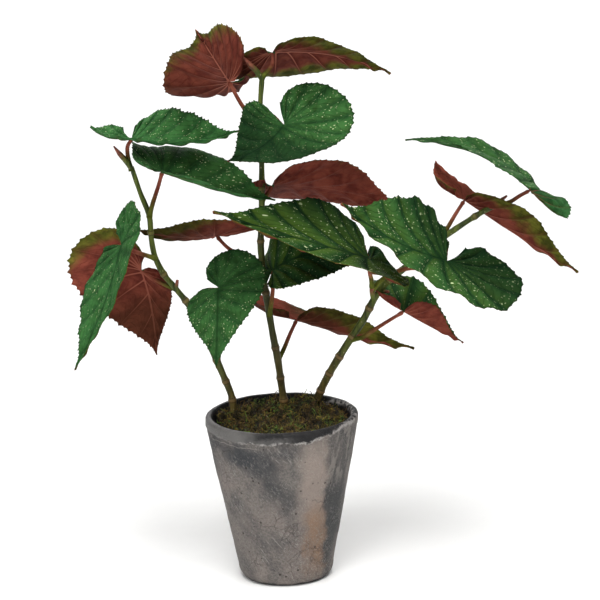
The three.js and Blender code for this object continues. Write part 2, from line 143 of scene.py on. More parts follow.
class Wire:
    """What a socket puts out. Each sum, ramp or pattern of it is one more node."""

    def __init__(self, tree, socket):
        self.tree = tree
        self.socket = socket

    def math(self, operation, *others):
        return place(self.tree, "Math", [self, *others], operation=operation)

    def __add__(self, other):
        return self.math("ADD", other)

    def __sub__(self, other):
        return self.math("SUBTRACT", other)

    def __rsub__(self, other):
        return place(self.tree, "Math", [other, self], operation="SUBTRACT")

    def __mul__(self, other):
        return self.math("MULTIPLY", other)

    def __abs__(self):
        return self.math("ABSOLUTE")

    def ramp(self, start, end, low=0, high=1):
        """A soft step: low where the value is at start, high where it is at end."""
        return place(self.tree, "MapRange", [self, start, end, low, high], interpolation_type="SMOOTHSTEP")

    def mix(self, share, other):
        """This colour with a share of another one laid over it."""
        return place(self.tree, "Mix", {0: share, 6: self, 7: other}, 2, data_type="RGBA")

    def noise(self, scale, detail=3, rough=0.55, twist=0, output="Fac"):
        values = {"Vector": self, "Scale": scale, "Detail": detail, "Roughness": rough}
        return place(self.tree, "TexNoise", values | {"Distortion": twist}, output)

    def cells(self, scale, feature="F1"):
        return place(self.tree, "TexVoronoi", {"Vector": self, "Scale": scale}, "Distance", feature=feature)

    def stretch(self, times, turn=(0, 0, 0)):
        """Draw a pattern out along its turned axes, each this many times."""
        values = {"Vector": self, "Scale": times, "Rotation": turn}
        return place(self.tree, "Mapping", values, vector_type="TEXTURE")

    def shaken(self, cloud, reach):
        """This place, pushed about by a coloured noise."""
        return place(self.tree, "VectorMath", [cloud, (reach,) * 3, self], operation="MULTIPLY_ADD")

    def part(self, axis):
        return place(self.tree, "SeparateXYZ", [self], axis)

    def beside(self, output):
        """Another output of the same node."""
        return Wire(self.tree, self.socket.node.outputs[output])


def new_material(name):
    """A material, its tree, its shader, and the places on the object as a wire."""
    material = bpy.data.materials.new(name)
    material.use_nodes = True
    tree = material.node_tree
    return material, tree, tree.nodes["Principled BSDF"], place(tree, "TexCoord", [], "Object")


def stored(tree, *names):
    """Wires of the numbers that a mesh holds under these names."""
    return [place(tree, "Attribute", [], "Fac", attribute_name=name) for name in names]


def dress(skin, color, rough, relief, strength, depth):
    """Give a shader its colour, its roughness and, in millimetres, its relief."""
    feed(skin.inputs["Base Color"], color)
    feed(skin.inputs["Roughness"], rough)
    values = {"Strength": strength, "Distance": depth * MM, "Height": relief}
    feed(skin.inputs["Normal"], place(relief.tree, "Bump", values))
    print("nodes in the finish:", len(relief.tree.nodes))


def new_group(name, inputs, outputs):
    """A shader node group with named sockets: its tree, its wires and its results."""
    tree = bpy.data.node_groups.new(name, "ShaderNodeTree")
    for way, sockets in (("INPUT", inputs), ("OUTPUT", outputs)):
        for label, kind in sockets.items():
            tree.interface.new_socket(label, in_out=way, socket_type="NodeSocket" + kind)
    entry = tree.nodes.new("NodeGroupInput")
    wires = [Wire(tree, entry.outputs[label]) for label in inputs]
    return tree, wires, tree.nodes.new("NodeGroupOutput").inputs


def placer(group):
    """A function that places this group, given its inputs in their order."""
    print("group", group.name, "nodes:", len(group.nodes))
    return lambda where, *values: place(where.tree, "Group", [where, *values], node_tree=group)


# %% [markdown]
# ## Effects that several finishes share
# Nothing that grew or was fired is one colour. The first group lets two colours drift into each
# other in soft patches. The second is the fine grain under the fingertips, as a height for a
# Bump node. The third finds small scattered dots, which are pits in clay, pores on a cane and
# pale spots on a leaf.

# %% Drifting patches of two colours
patches, (where, scale, dark, pale), result = new_group(
    "patches", dict(Vector="Vector", Scale="Float", Dark="Color", Pale="Color"),
    dict(Color="Color", Share="Float"),
)
share = where.noise(scale, 5, 0.6, 0.4).ramp(0.34, 0.66)
feed(result["Color"], dark.mix(share, pale))
feed(result["Share"], share)
patchy = placer(patches)

# %% Fine grain
grain, (where, scale, height), result = new_group(
    "grain", dict(Vector="Vector", Scale="Float", Height="Float"), dict(Height="Float")
)
feed(result["Height"], where.noise(scale, 6, 0.65) * height)
grainy = placer(grain)

# %% Scattered dots
dots, (where, scale, size, fewer), result = new_group(
    "dots", dict(Vector="Vector", Scale="Float", Size="Float", Fewer="Float"), dict(Mask="Float")
)
distance = where.cells(scale)
chance = place(dots, "SeparateColor", [distance.beside("Color")])
grown = size * chance.ramp(fewer, 1)
feed(result["Mask"], distance.ramp(grown, grown * 0.55) * grown.math("GREATER_THAN", 0.01))
dotted = placer(dots)

# %% [markdown]
# ## Curves through measured points
# Canes, leaf stalks and the leaf's outline are smooth curves through a few points. The same
# rule of curve is used as for the solids, so the fine pieces run where the solids run.

# %% Points of a smooth curve
def curve_points(route, positions):
    """Points of the curve through route; a whole position is one of its own points."""
    p = np.asarray(route, float)
    p = np.vstack([2 * p[0] - p[1], p, 2 * p[-1] - p[-2]])
    position = np.clip(np.asarray(positions, float), 0, len(route) - 1)
    k = np.minimum(position.astype(int), len(route) - 2)
    w = (position - k)[:, None]
    a, b, c, d = p[k], p[k + 1], p[k + 2], p[k + 3]

    def gap(s, t):
        return np.sqrt(np.linalg.norm(t - s, axis=1))[:, None]

    ab, bc, cd = gap(a, b), gap(b, c), gap(c, d)
    start = ((b - a) / ab - (c - a) / (ab + bc) + (c - b) / bc) * bc
    end = ((c - b) / bc - (d - b) / (bc + cd) + (d - c) / cd) * bc
    bend = -3 * b + 3 * c - 2 * start - end
    return b + start * w + bend * w**2 + (2 * b - 2 * c + start + end) * w**3


def even_points(route, step):
    """Points a step apart along a route, with their share of its length."""
    dense = curve_points(route, np.linspace(0, len(route) - 1, 60 * len(route)))
    run = np.r_[0, np.cumsum(np.linalg.norm(np.diff(dense, axis=0), axis=1))]
    shares = np.linspace(0, 1, max(int(run[-1] / step), 3) + 1)
    points = np.stack([np.interp(shares * run[-1], run, dense[:, k]) for k in range(3)], axis=1)
    return points, shares


# %% Tubes, and the points of a mesh
def round_tube(points, radii, roundness):
    """A closed tube of millimetre points and radii, made as a bevelled curve."""
    curve = bpy.data.curves.new("tube", "CURVE")
    curve.dimensions = "3D"
    curve.bevel_depth = 1
    curve.bevel_resolution = roundness
    curve.use_fill_caps = True
    spline = curve.splines.new("POLY")
    spline.points.add(len(points) - 1)
    for knot, point, radius in zip(spline.points, points, radii):
        knot.co = (*(point * MM), 1)
        knot.radius = radius * MM
    tube = bpy.data.objects.new("tube", curve)
    bpy.context.collection.objects.link(tube)
    pick_up(tube)
    bpy.ops.object.convert(target="MESH")
    return bpy.context.object


def coordinates(mesh):
    """A mesh's points as rows of millimetres."""
    flat = np.empty(3 * len(mesh.vertices))
    mesh.vertices.foreach_get("co", flat)
    return flat.reshape(-1, 3) / MM


def move_points(mesh, rows):
    """Put a mesh's points at rows of millimetres."""
    mesh.vertices.foreach_set("co", (rows * MM).ravel())
    mesh.update()


def mark(mesh, **marks):
    """Store numbers for the points, for the materials to read."""
    for name, values in marks.items():
        layer = mesh.attributes.get(name) or mesh.attributes.new(name, "FLOAT", "POINT")
        layer.data.foreach_set("value", np.broadcast_to(values, len(mesh.vertices)).astype(np.float32))


def read_mark(mesh, name):
    """The numbers that mark has stored under a name."""
    values = np.empty(len(mesh.vertices), np.float32)
    mesh.attributes[name].data.foreach_get("value", values)
    return values.astype(float)


def at_nearest(mesh, points, values):
    """For each point of a tube, the value at the nearest point of its route."""
    return values[np.linalg.norm(coordinates(mesh)[:, None] - points, axis=2).argmin(axis=1)]


print("a test curve of", len(even_points([[0, 0, 0], [0, 10, 30], [5, 0, 60]], 2)[0]), "points")

# %% [markdown]
# ## The leaf, laid flat
# Every leaf grew from one plan: a lopsided heart with its stalk near one side. Each vein leaves
# the midrib or the stalk and ends at the margin. A grid is the natural start, because its
# columns can be the veins and its rows the way out from midrib to margin. Both halves are made
# once, and each leaf is then a bent copy.

# %% Plan of the leaf
BROAD_VEINS = [
    (1, 0), (0.9, 0.045), (0.76, 0.135), (0.58, 0.265), (0.38, 0.38), (0.14, 0.475), (-0.12, 0.51),
    (-0.34, 0.46), (-0.49, 0.32), (-0.54, 0.14), (-0.49, -0.03), (-0.36, -0.13), (-0.2, -0.13),
]
NARROW_VEINS = [
    (1, 0), (0.9, -0.035), (0.78, -0.1), (0.63, -0.195), (0.46, -0.285), (0.28, -0.345),
    (0.12, -0.34), (0, -0.28), (-0.05, -0.18), (-0.03, -0.09),
]
VEIN_STARTS = [1, 0.76, 0.51, 0.28, 0.11, 0.02, 0]
RAYS_PER_VEIN = 16
STEPS_OUT = 16
TOOTH_DEPTH = 1.8
SLOW_WAVE = 0.9


def ray_places(rays, share, broad, length, toothed=1):
    """Flat places, as shares of the midrib, of points on the rays of one half."""
    veins = BROAD_VEINS if broad else NARROW_VEINS
    ends = curve_points([(u, v, 0) for u, v in veins], rays)
    starts = np.interp(rays, range(len(VEIN_STARTS)), VEIN_STARTS)
    teeth = TOOTH_DEPTH * toothed * np.abs(np.sin(4 * np.pi * rays))
    teeth += SLOW_WAVE * np.sin(2 * np.pi * rays) ** 2
    reach = length * np.hypot(ends[:, 0] - starts, ends[:, 1])
    pull = 1 - teeth / np.maximum(np.maximum(reach, 8 * teeth), 1)
    u = starts + (ends[:, 0] - starts) * (share * pull) ** 0.92
    v = ends[:, 1] * (share * pull) ** 1.1
    return u, v, reach


# %% Two grids become the flat leaf
def flat_half(broad):
    """One half of the flat leaf, each point marked with its ray and its step outwards."""
    put_down()
    veins = len(BROAD_VEINS if broad else NARROW_VEINS) - 1
    bpy.ops.mesh.primitive_grid_add(x_subdivisions=veins * RAYS_PER_VEIN, y_subdivisions=STEPS_OUT, size=1)
    half = bpy.context.object
    points = coordinates(half.data) * MM
    rays = (points[:, 0] + 0.5) * veins
    share = points[:, 1] + 0.5
    u, v, _ = ray_places(rays, share, broad, 120)
    move_points(half.data, np.stack([u, v, 0 * u], axis=1) / MM)
    mark(half.data, ray=rays, share=share, broad=float(broad))
    if broad:
        edit_all(half, bpy.ops.mesh.flip_normals)
    return half


halves = [flat_half(True), flat_half(False)]
pick_up(*halves)
bpy.ops.object.join()
flat_leaf = bpy.context.object
edit_all(flat_leaf, bpy.ops.mesh.remove_doubles, threshold=1e-5)
print("flat leaf points:", len(flat_leaf.data.vertices))

# %% [markdown]
# ## Bending a leaf
# A real blade folds up along its midrib, cups down at the margin, twists, and arches from its
# stalk. Those few bends, each with its own amount, turn the one flat leaf into seventeen. The
# skin between two veins stands up as a pleat, puckered and a little ruffled at the margin.

# %% The bends
PLEAT_DEPTH = 0.03
PUCKER = 0.0035
MARGIN_WAVE = 0.008
RUFFLE = 0.014


def blade_relief(leaf, rays, share, v, phase):
    """The height of pleats, puckers and ruffles, as a share of the midrib."""
    valley = 1 - np.abs(np.sin(np.pi * rays))
    swell = np.sin(np.pi * share**1.6)
    edge = share**3 * np.minimum(1, 6 * np.abs(v))
    lift = -PLEAT_DEPTH * leaf["pleat"] * valley * swell
    lift += PUCKER * swell * np.sin(26 * share + 4 * valley + phase[0]) * (1 - valley)
    lift += MARGIN_WAVE * edge * np.sin(2.2 * rays + phase[1])
    return lift + RUFFLE * leaf["ruffle"] * edge * np.sin(5.2 * rays + phase[2])


def bend_blade(leaf, u, v, lift):
    """Bent places in millimetres, in the leaf's own axes."""
    hand = leaf["hand"]
    along = np.where(u < 0, u * leaf["lobe"], u)
    ease = 1 / (1 + np.exp((-0.05 - along) / 0.12))
    slope = np.radians(leaf["fold"]) * (0.35 + 0.65 * ease)
    middle = leaf["sweep"] * np.maximum(u, 0) ** 2 * hand
    wide = v * np.where(v >= 0, leaf["broad"], leaf["narrow"]) * hand
    reach = np.hypot(wide, 0.06) - 0.06
    y = middle + wide * np.cos(slope)
    z = reach * np.sin(slope) - leaf["cup"] * reach**2 + lift
    turn = np.radians(leaf["twist"]) * along
    y, z = y * np.cos(turn) - z * np.sin(turn), y * np.sin(turn) + z * np.cos(turn)
    arch = np.where(u >= 0, np.radians(leaf["arch"]), np.radians(leaf["back"]))
    arch = np.where(np.abs(arch) < 1e-6, 1e-6, arch)
    angle = arch * np.abs(along)
    x = (np.sin(angle) / arch + z * np.sin(angle)) * np.sign(along)
    z = z * np.cos(angle) - (1 - np.cos(angle)) / arch
    return np.stack([x, y, z], axis=1) * leaf["length"]


def leaf_axes(leaf):
    """The turn that carries a leaf's midrib, left and up into the plant."""
    heading, pitch, roll = (math.radians(angle) for angle in leaf["turn"])
    turn = Matrix.Rotation(heading, 3, "Z") @ Matrix.Rotation(-pitch, 3, "Y")
    return turn @ Matrix.Rotation(roll, 3, "X")


# %% [markdown]
# ## Where each leaf grows
# The numbers are the plant's own: the stalk's route from the blade to the cane, the midrib's
# heading, pitch and roll, and the amount of each bend. Tone makes a leaf lighter above, blush redder below,
# tip_green greener below near its tip, and flush reddens the upper face of its back lobes.
# The last pair of numbers paints shade: it darkens the leaf in one direction over the blade, from a
# distance on.

# %% The seventeen leaves
USUAL = dict(
    hand=1, broad=1, narrow=1, lobe=1, fold=15, arch=20, back=-40, twist=0, sweep=0, cup=0.25,
    tone=0.4, blush=0.8, tip_green=0, flush=0, spots=0.6, teeth=0.65, ribs=0.6, ruffle=0.2, pleat=1,
    dusk=(0, 2),
)
LEAVES = {
    "top_left": dict(
        route=[[-40, -12, 504], [-28, -4, 479], [-19, 4, 465], [-11, 11, 452]],
        turn=(260, 26, 32), length=125, hand=-1, broad=1.1, narrow=1.2, lobe=1.1, fold=58, arch=-15,
        twist=14, cup=0, blush=0.9, tip_green=0.3, ribs=1,
    ),
    "top_right": dict(
        route=[[3, 25, 525], [2, 21, 514], [-8, 10, 503]],
        turn=(21, 0, -29), length=124, narrow=1.3, lobe=0.6, fold=-12, arch=30, back=18, twist=6,
        cup=-0.2, blush=0.6, tip_green=0.3, ribs=1,
    ),
    "upper_front": dict(
        route=[[12, -28, 463], [5, -15, 448], [-11, 12, 430]],
        turn=(252, -15, -30), length=120, lobe=1.2, fold=19, arch=-4, twist=-12, sweep=-0.2, cup=-0.3,
        tone=0.43, pleat=0.6, dusk=(0, 0.03),
    ),
    "left_crown": dict(
        route=[[-136, -8, 450], [-141, 1, 441], [-141, 3, 430], [-138, 1, 417]],
        turn=(-12, -10, 4), length=110, hand=-1, broad=0.6, narrow=1.5, lobe=0.7, fold=36, arch=-31,
        twist=20, cup=0.4, tone=0.75, blush=-0.3, teeth=1, ruffle=0.5,
    ),
    "left_upper": dict(
        route=[[-107, -24, 420], [-112, -14, 404], [-119, -4, 384], [-123, 3, 370]],
        turn=(7, -24, 12), length=116, broad=1.4, narrow=0.9, lobe=0.55, fold=52, arch=-7, twist=18,
        sweep=0.1, cup=1, tone=0.42, blush=-0.3, teeth=0.9, pleat=0.6,
    ),
    "back_red": dict(
        route=[[-2, 25, 393], [-5, 21, 388], [-12, 13, 381]],
        turn=(17, -3, -24), length=137, broad=0.9, narrow=1.3, lobe=0.5, fold=10, arch=25, back=-27,
        twist=-25, cup=0.1, blush=1, ribs=0.15,
    ),
    "left_back": dict(
        route=[[-134, 20, 313], [-121, 17, 304], [-110, 12, 299], [-100, 7, 296]],
        turn=(59, -64, -5), length=99, broad=1.4, narrow=0.75, lobe=0.9, fold=10, arch=10, back=3,
        twist=-43, sweep=0.1, cup=0.8, blush=1.05, tip_green=-1, dusk=(0, 0.2),
    ),
    "left_hanging": dict(
        route=[[-149, -37, 352], [-139, -28, 344], [-129, -12, 336], [-119, 5, 328]],
        turn=(244, -60, 41), length=130, broad=0.7, narrow=1.35, lobe=0.6, fold=12, arch=-12, twist=-10,
        sweep=-0.1, cup=0.4, tone=0.6, blush=0.3, spots=0.55, teeth=1, ruffle=0.5, pleat=0.6,
    ),
    "centre_large": dict(
        route=[[91, -25, 328], [91, -10, 312], [93, 8, 299], [94, 15, 290]],
        turn=(220, 21, -32), length=176, broad=0.55, narrow=0.95, lobe=0.35, fold=23, arch=14, back=11,
        twist=-12, sweep=-0.2, cup=0.2, tone=0.25, spots=0.95, dusk=(245, -0.12),
    ),
    "centre_lower": dict(
        route=[[-4, 0, 313], [-4, 4, 298], [-6, 8, 281], [-9, 16, 263]],
        turn=(-17, 38, 27), length=105, broad=1.2, narrow=1.2, lobe=0.8, fold=14, arch=65, back=36,
        twist=45, sweep=-0.1, cup=0.3, tone=0.3, dusk=(0, 0.15),
    ),
    "right_large": dict(
        route=[
            [166, -28, 324], [152, -18, 314], [131, -4, 312], [114, 8, 305], [103, 16, 296], [94, 21, 285],
        ],
        turn=(208, 20, -37), length=139, narrow=1.3, fold=25, arch=-19, twist=-14, sweep=-0.1, cup=0.3,
        spots=0.9, ruffle=1.2, dusk=(220, -0.22),
    ),
    "right_folded": dict(
        route=[[125, 25, 261], [109, 24, 252], [93, 25, 242], [83, 28, 235], [71, 35, 231]],
        turn=(27, -35, -6), length=81, broad=1.4, lobe=0.8, fold=63, arch=-8, twist=14, cup=0,
        tone=0.36, blush=1,
    ),
    "low_back": dict(
        route=[[18, 49, 250], [11, 40, 238], [4, 28, 225], [-2, 19, 216]],
        turn=(22, -23, -21), length=132, broad=1.3, narrow=0.7, lobe=0.6, fold=33, arch=-1, back=-37,
        twist=-21, sweep=-0.1, cup=-0.1, tone=0.3, blush=0.65, tip_green=0.5, flush=0.2,
        dusk=(180, -0.5),
    ),
    "front_heart": dict(
        route=[[-57, -32, 305], [-62, -20, 290], [-69, -4, 268], [-74, 10, 249]],
        turn=(269, -21, 13), length=94, fold=-2, arch=41, twist=2, sweep=-0.1, cup=0.3, tone=0.38,
        spots=0.55, pleat=0.45, dusk=(180, 0.3),
    ),
    "left_folded": dict(
        route=[[-59, 35, 342], [-49, 33, 331], [-32, 24, 321], [-13, 15, 312]],
        turn=(199, -1, 20), length=84, narrow=1.2, lobe=1.3, fold=12, arch=-23, back=-25, twist=19,
        cup=-0.3, tone=0.2, blush=0.9, tip_green=0.9, dusk=(0, 0.1),
    ),
    "right_crown": dict(
        route=[[252, 22, 381], [242, 22, 376], [232, 22, 370], [218, 22, 367]],
        turn=(145, 36, 29), length=137, broad=1.3, lobe=0.7, fold=24, arch=28, twist=-35, sweep=0.2,
        cup=0.6, tone=0.36, blush=-0.3, teeth=1.1, ruffle=0.5, pleat=0.5,
    ),
    "right_red": dict(
        route=[[188, 36, 370], [179, 34, 357], [171, 30, 345], [162, 25, 332]],
        turn=(1, -37, -8), length=137, broad=1.3, lobe=0.6, fold=42, arch=-6, twist=-36, cup=0.6,
        blush=0.65, tip_green=0.3, flush=0.2, ribs=0.9,
    ),
}

# %% A finished leaf
BLADE = 0.6
STALK_RADIUS = 1.9
rng = np.random.default_rng(7)


def make_blade(leaf):
    """A bent copy of the flat leaf, with its own mesh and its marks."""
    pick_up(flat_leaf)
    bpy.ops.object.duplicate()
    blade = bpy.context.object
    mesh = blade.data
    rays, share, broad = (read_mark(mesh, name) for name in ("ray", "share", "broad"))
    length = leaf["length"]
    phase = rng.uniform(0, 2 * np.pi, 3)

    def both_halves(rays):
        sides = [ray_places(rays, share, side, length, leaf["teeth"]) for side in (True, False)]
        return [np.where(broad > 0.5, one, other) for one, other in zip(*sides)]

    u, v, reach = both_halves(rays)
    points = bend_blade(leaf, u, v, blade_relief(leaf, rays, share, v, phase))
    move_points(mesh, points @ np.array(leaf_axes(leaf)).T + np.array(leaf["route"][0]))
    # how far each point is from the nearest vein, in millimetres
    ahead_u, ahead_v, _ = both_halves(rays + 0.5)
    behind_u, behind_v, _ = both_halves(rays - 0.5)
    spacing = length * np.hypot(ahead_u - behind_u, ahead_v - behind_v)
    vein = np.abs(rays - np.round(rays)) * spacing
    vein = np.where(u > 0, np.minimum(vein, np.abs(v) * length), vein)
    # painted shade: a distance along one direction over the blade, darker beyond its start
    turn, start = leaf["dusk"]
    dusk = u * math.cos(math.radians(turn)) + v * math.sin(math.radians(turn)) - start
    mark(mesh, vein=vein, far=u, way=share * reach / 10, dusk=dusk)
    mapping = mesh.uv_layers.new(name="leaf_map")
    corners = np.empty(len(mesh.loops), int)
    mesh.loops.foreach_get("vertex_index", corners)
    centimetres = np.stack([u, v], axis=1) * length / 10
    mapping.uv.foreach_set("vector", centimetres[corners].astype(np.float32).ravel())
    if leaf["hand"] < 0:
        edit_all(blade, bpy.ops.mesh.flip_normals)
    count = len(mesh.vertices)
    wall = blade.modifiers.new("wall", "SOLIDIFY")
    wall.thickness = BLADE * MM
    wall.offset = 0
    bpy.ops.object.modifier_apply(modifier="wall")
    mark(blade.data, under=np.arange(len(blade.data.vertices)) >= count, stalk=0)
    return blade


def make_stalk(leaf):
    """The leaf's stalk: a tube from the blade's base to the cane."""
    points, shares = even_points(leaf["route"], 2.5)
    radii = STALK_RADIUS * (0.9 + 0.4 * shares)
    radii += 0.9 * np.exp(-((shares * 14) ** 2)) + 0.7 * np.exp(-(((1 - shares) * 12) ** 2))
    radii[0] = 0.7
    tube = round_tube(points, radii, 4)
    mark(tube.data, stalk=0.01 + 0.99 * at_nearest(tube.data, points, shares))
    return tube


print("leaves to make:", len(LEAVES))

# %% [markdown]
# ## The finish of a leaf
# Above, the blade is dark green with a quiet gloss, sprinkled with pale spots between the veins.
# Painted shade darkens the sunk veins, one half of each pleat and one side of the blade, and painted
# highlights lighten the other half of each pleat and the puffed middle between veins. Below, it is
# wine red, fading to olive at the margin, with raised pink veins; painted shade lies beside the
# veins and over one side. One material holds both faces and the stalk, and the marks on the points
# tell it which is which, so the pattern follows every fold.

# %% The green of the upper face
leaf_finish, tree, skin, places = new_material("spotted_leaf")
leaf_map = place(tree, "UVMap", [], uv_map="leaf_map")
POINT_MARKS = ("ray", "share", "vein", "far", "way", "dusk", "under", "stalk")
ray, out, vein, far, way, dusk, under, stalk = stored(tree, *POINT_MARKS)
LEAF_MARKS = ("tone", "blush", "tip_green", "flush", "spots", "ribs", "pleat")
tone, blush, tip_green, flush, spotted, ribs, pleat = stored(tree, *LEAF_MARKS)

dark_green = patchy(leaf_map, 0.55, (0.006, 0.014, 0.005), (0.022, 0.05, 0.013))
light_green = patchy(leaf_map, 0.7, (0.016, 0.072, 0.02), (0.05, 0.18, 0.052))
green = dark_green.mix(tone, light_green)
puff = vein.ramp(0.3, 2.6)
panel = ray.math("FRACT")
# painted highlight in one half of each pleat panel, on the puffed skin
panel_highlight = puff * tone.ramp(0.2, 0.6, 0.75, 0.05) * panel.ramp(0.85, 0.2) * pleat.ramp(0.4, 1, 0.1, 1)
green = green.mix(panel_highlight, (0.07, 0.12, 0.016))
# painted shade in the sunk veins and in the other half of each panel
valley = ((1 - puff) * 0.25).math("MAXIMUM", panel.ramp(0.35, 1) * 0.5)
green = green.mix(valley * tone.ramp(0.3, 0.9, 1, 0.45) * pleat, (0.003, 0.014, 0.005))
# painted highlight on the puffed middle between veins
green = green.mix(vein.ramp(1.5, 8) * tone * 0.55, (0.055, 0.175, 0.045))
green = green.mix(vein.ramp(0.5, 0.1) * 0.3, (0.045, 0.11, 0.03))
green = green.mix(out.ramp(0.96, 1, 0, 0.45), (0.012, 0.03, 0.008))
print("nodes so far:", len(tree.nodes))

# %% Its spots, midrib, painted shade and red base
rows = place(tree, "CombineXYZ", [ray * 2.4, way])
rows = rows.shaken(leaf_map.noise(3.5, 2, 0.5, output="Color"), 0.2)
big_dots = dotted(rows, 1.6, 0.27, 0.3) * spotted.ramp(0.5, 0.75)
small_dots = dotted(rows, 4.2, 0.36, 0.3) * 0.85
crowded = (leaf_map.noise(0.6) + spotted * 0.5).ramp(0.55, 0.95)
spots = big_dots.math("MAXIMUM", small_dots) * vein.ramp(0.6, 1.8) * out.ramp(0.06, 0.2) * crowded
green = green.mix(spots, (0.56, 0.66, 0.35))
midrib = abs(leaf_map.part("Y")).ramp(0.14, 0.02, 0, 0.6) * far.ramp(-0.01, 0.02)
green = green.mix(midrib, (0.004, 0.016, 0.005))
# painted shade over one side of the blade, with a soft wandering edge
dusk = (dusk + leaf_map.noise(0.9) * 0.25).ramp(0, 0.5, 0, 0.75)
green = green.mix(dusk, (0.004, 0.014, 0.006))
red_base = (flush - far - leaf_map.noise(0.8) * 0.3).ramp(-0.28, 0.04) * flush.ramp(0, 0.05)
green = green.mix(red_base, (0.24, 0.056, 0.036))
print("nodes so far:", len(tree.nodes))

# %% The wine red of the lower face
wine = patchy(leaf_map, 0.6, (0.1, 0.022, 0.016), (0.2, 0.05, 0.032))
olive = patchy(leaf_map, 0.8, (0.04, 0.045, 0.008), (0.12, 0.12, 0.018))
fading = out + leaf_map.noise(0.5) * 0.5 + far * tip_green
fading = (fading - (blush * 0.9 + 0.3)).ramp(0, 0.32)
red = wine.mix(fading, olive.mix(blush.ramp(0, -0.3), light_green))
# painted shade beside the raised veins
red = red.mix(vein.ramp(4.5, 0.8) * ribs * 0.45, (0.05, 0.01, 0.007))
rib = (vein - (1.15 - out * 0.95)).ramp(0, -0.5) * out.ramp(0.9, 0.1, 0.3, 1)
red = red.mix(rib * ribs, (0.38, 0.12, 0.08))

# fine side veins that climb from each main vein, on both faces
ladder = out * 7 + ray.math("PINGPONG", 0.5) * 2.6 + leaf_map.noise(1.3) * 0.7
side_vein = ladder.math("PINGPONG", 0.5).ramp(0.12, 0) * vein.ramp(0.3, 1.5)
green = green.mix(side_vein * 0.3, (0.006, 0.022, 0.006))
red = red.mix(side_vein * 0.18, (0.07, 0.014, 0.009))
# the same painted shade over one side of the lower face
red = red.mix(dusk * 0.75, (0.025, 0.016, 0.006))
print("nodes so far:", len(tree.nodes))

# %% The stalk, and the whole finish
stalk_red = patchy(places, 60, (0.12, 0.028, 0.018), (0.26, 0.08, 0.052))
stalk_green = patchy(places, 60, (0.045, 0.06, 0.01), (0.12, 0.14, 0.024))
stalk_color = stalk_red.mix(stalk.ramp(0.35, 0.9), stalk_green)
color = green.mix(under, red).mix(stalk.math("GREATER_THAN", 0.005), stalk_color)
rough = leaf_map.noise(2.5, 4).ramp(0.3, 0.7, 0.55, 0.72)
rough = rough.mix(red_base.ramp(0, 0.2), (1, 1, 1)).mix(under, (0.66, 0.66, 0.66))
feed(skin.inputs["Specular IOR Level"], 0.025)
feed(skin.inputs["Specular Tint"], (0.5, 0.62, 0.42))
relief = leaf_map.cells(2.2, "SMOOTH_F1") * -1.2 * (tone + 0.25) - side_vein * 0.8
relief = relief + grainy(places, 900, 0.12) - vein.ramp(0.9, 0) * 0.7
dress(skin, color, rough, relief, 0.8, 0.7)

# %% Make the seventeen leaves
for name, own in LEAVES.items():
    leaf = USUAL | own
    blade, tube = make_blade(leaf), make_stalk(leaf)
    mark(blade.data, **{key: leaf[key] for key in LEAF_MARKS})
    pick_up(blade, tube)
    bpy.ops.object.join()
    finish_piece(blade, "fine_leaf_" + name, leaf_finish, ["leaf_" + name])
bpy.data.objects.remove(flat_leaf)

# %% [markdown]
# ## The canes
# A cane is a jointed stem. At each joint an old leaf left a ring, a little thicker than the
# stem and paler, and the wood between is green above and tan near the soil. A bevelled curve
# follows the route, and its own radius at each point makes the rings, the buds and the scars.

# %% Routes of the canes
STEM_FOOT = 96
CANES = {
    "left": dict(
        route=[
            [-49, 15, STEM_FOOT], [-49, 15, 156], [-49, 14, 180], [-57, 12, 205], [-72, 10, 244],
            [-87, 8, 277], [-100, 7, 296], [-111, 6, 311], [-119, 5, 329], [-122, 4, 348],
            [-123, 3, 371], [-131, 2, 396], [-138, 1, 421],
        ],
        foot=4, tip=2.4, shade=0.5, rings=[0.24, 0.3, 0.37, 0.46, 0.57, 0.67, 0.8],
        sides=[
            [[-138, 1, 418, 2.3], [-142, 0, 426, 2.9], [-148, -2, 434, 2.5], [-154, -4, 443, 0.7]],
            [[-101, 5, 295, 2.4], [-99, 3, 301, 2], [-98, 2, 306, 1.4]],
        ],
    ),
    "middle": dict(
        route=[
            [4, 27, STEM_FOOT], [4, 27, 156], [1, 23, 187], [-2, 19, 217], [-6, 17, 243], [-10, 16, 274],
            [-13, 15, 300], [-15, 14, 336], [-13, 13, 367], [-11, 12, 432], [-11, 11, 471], [-8, 10, 504],
        ],
        foot=4.1, tip=2.5, shade=0.85, rings=[0.19, 0.25, 0.33, 0.47, 0.6, 0.73, 0.88],
        sides=[[[-8, 10, 501, 2.4], [-13, 8, 510, 2.8], [-19, 5, 517, 2.5], [-25, 2, 525, 0.7]]],
    ),
    "right": dict(
        route=[
            [22, 33, STEM_FOOT], [32, 48, 156], [39, 45, 174], [48, 41, 193], [62, 37, 217],
            [74, 34, 236], [85, 31, 253], [96, 29, 274], [108, 28, 290], [120, 27, 300],
            [147, 26, 321], [168, 25, 337], [202, 23, 359], [219, 22, 368],
        ],
        foot=4.4, tip=2.7, shade=0.2, rings=[0.24, 0.3, 0.36, 0.43, 0.53, 0.63, 0.78, 0.93],
        sides=[
            [[96, 29, 273, 3.2], [94, 22, 283, 2.8], [94, 15, 292, 2.4]],
            [[102, 28, 281, 2.2], [107, 26, 282, 2], [111, 24, 282, 1.2]],
            [[218, 22, 367, 2.4], [224, 20, 373, 2.2], [229, 19, 377, 0.9]],
        ],
    ),
}
RING_SWELL = 0.9
RING_LENGTH = 2.4
print("canes to make:", len(CANES))

